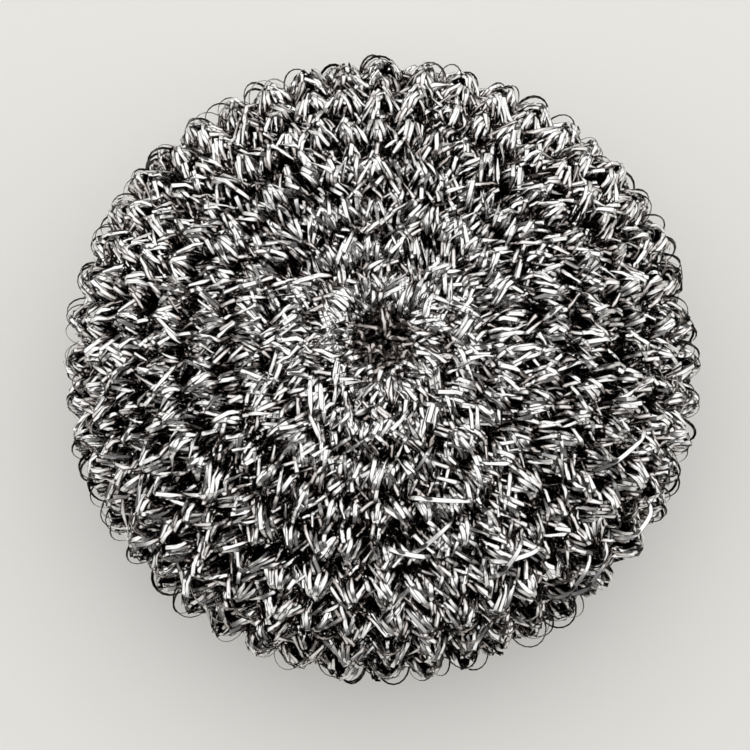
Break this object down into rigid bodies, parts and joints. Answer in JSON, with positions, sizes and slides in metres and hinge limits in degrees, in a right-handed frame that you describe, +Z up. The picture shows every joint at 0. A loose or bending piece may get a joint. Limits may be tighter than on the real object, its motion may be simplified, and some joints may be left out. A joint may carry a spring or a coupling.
{
  "type": "knitted steel scrubber",
  "caption": "Round cushion of knitted flat stainless ribbon with ribbed stitches and a pit in its middle, for scouring pans and worktops.",
  "frame": {"origin": "on the table, in the middle under the cushion", "axes": "+Z up along the cushion's axis, from the foot ring through the two pits"},
  "size_m": [0.09, 0.09, 0.038],
  "materials": {
    "stainless_ribbon": "bright rolled flat ribbon, knitted, with dark gaps between the stitches"
  },
  "bodies": {
    "root": {"knitted_ball": "stainless_ribbon"}
  },
  "joints": []
}
